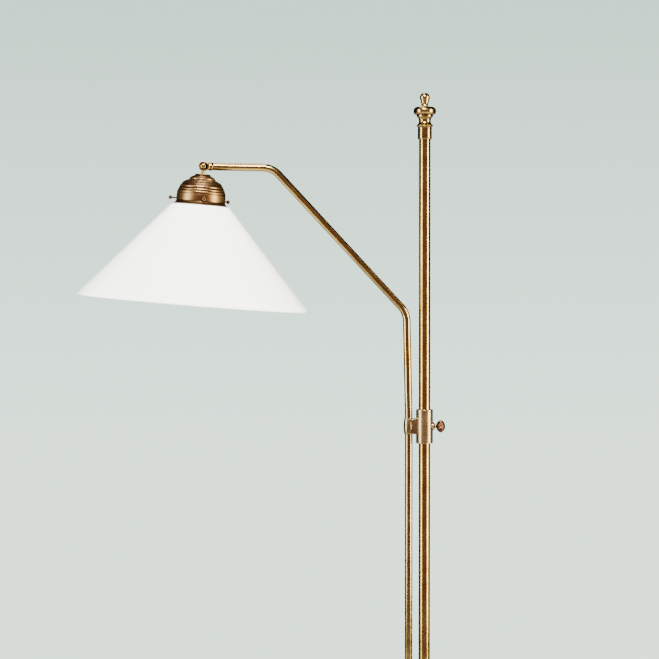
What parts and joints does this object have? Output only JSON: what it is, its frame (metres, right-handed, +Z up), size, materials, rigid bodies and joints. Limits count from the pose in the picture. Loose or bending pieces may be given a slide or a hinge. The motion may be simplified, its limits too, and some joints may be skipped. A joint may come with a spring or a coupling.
{
  "type": "pharmacy floor lamp",
  "caption": "Brass reading floor lamp: a bent arm slides and turns on a pole and carries a tilting cone shade of opal glass in a ribbed gallery.",
  "frame": {"origin": "centre of the felt's underside, on the floor and on the pole's axis", "axes": "+Z up along the pole, arm and shade towards -X, front of the lamp towards -Y"},
  "size_m": [0.582, 0.3, 1.4],
  "materials": {
    "antique_brass": "polished and lacquered, bronzed with age",
    "satin_brass": "spun and brushed, bronzed with age",
    "steel": "zinc plated",
    "cast_iron": "raw casting",
    "felt": "pressed wool felt",
    "nylon": "natural nylon",
    "black_rubber": "moulded",
    "porcelain": "glazed",
    "bulb_glass": "inside frosted",
    "opal_glass": "white opal, fire polished"
  },
  "bodies": {
    "stand": {"base_cover": "antique_brass", "base_weight": "cast_iron", "base_felt": "felt", "base_stud": "steel", "base_washer": "steel", "base_nut": "steel", "column_socket": "antique_brass", "pole_tube": "antique_brass", "pole_foot_plug": "antique_brass", "pole_top_plug": "antique_brass", "finial_sleeve": "antique_brass", "finial_vase": "antique_brass", "finial_knob": "antique_brass"},
    "carriage": {"clamp_liner_lower": "nylon", "clamp_liner_upper": "nylon", "guide_liner": "nylon"},
    "arm": {"upper_clamp": "satin_brass", "lower_guide": "satin_brass", "arm_tube": "antique_brass", "arm_lead": "black_rubber", "arm_ferrule": "antique_brass", "cord_outlet_bush": "black_rubber", "arm_end_fork": "antique_brass", "tilt_washer_front": "nylon", "tilt_washer_back": "nylon", "tilt_screw": "antique_brass", "tilt_nut": "antique_brass"},
    "clamp_shoe": {"clamp_pad": "nylon"},
    "thumb_screw": {"thumb_screw_stud": "antique_brass", "thumb_screw_knob": "antique_brass"},
    "head": {"shade_stem": "antique_brass", "stem_lead": "black_rubber", "gallery_cap": "satin_brass", "gallery_dome": "satin_brass", "gallery_nipple": "steel", "gallery_washer": "steel", "gallery_lock_nut": "steel", "lampholder_cap": "porcelain", "lampholder_sleeve": "porcelain", "lampholder_insulator": "porcelain", "lampholder_thread": "antique_brass", "lampholder_contact": "antique_brass", "bulb_contact": "steel", "bulb_cap": "steel", "bulb_glass": "bulb_glass", "glass_shade": "opal_glass"},
    "screw_front": {"shade_screw_front": "antique_brass"},
    "screw_right": {"shade_screw_right": "antique_brass"},
    "screw_left": {"shade_screw_left": "antique_brass"}
  },
  "joints": [
    {"name": "arm_slide", "type": "slide", "parent": "stand", "child": "carriage", "axis": [0, 0, 1], "range_m": [-0.4, 0.35]},
    {"name": "arm_swivel", "type": "hinge", "parent": "carriage", "child": "arm", "pos_m": [0, 0, 0.9656], "axis": [0, 0, 1], "continuous": true},
    {"name": "clamp_pad_travel", "type": "slide", "parent": "arm", "child": "clamp_shoe", "axis": [1, 0, 0], "range_m": [0, 0.0014]},
    {"name": "thumb_screw_turn", "type": "hinge", "parent": "clamp_shoe", "child": "thumb_screw", "pos_m": [0.0156, 0, 0.9656], "axis": [1, 0, 0], "range_deg": [0, 720]},
    {"name": "shade_tilt", "type": "hinge", "parent": "arm", "child": "head", "pos_m": [-0.288, 0, 1.30446], "axis": [0, 1, 0], "range_deg": [-20, 85]},
    {"name": "screw_front_travel", "type": "slide", "parent": "head", "child": "screw_front", "axis": [0.1559, -0.9877, -0.0128], "range_m": [0, 0.005]},
    {"name": "screw_right_travel", "type": "slide", "parent": "head", "child": "screw_right", "axis": [0.7745, 0.6293, -0.0637], "range_m": [0, 0.005]},
    {"name": "screw_left_travel", "type": "slide", "parent": "head", "child": "screw_left", "axis": [-0.9304, 0.3584, 0.0765], "range_m": [0, 0.005]}
  ],
  "couplings": [
    {"joint": "thumb_screw_turn", "follows": "clamp_pad_travel", "rad_per_m": 8975.9}
  ]
}
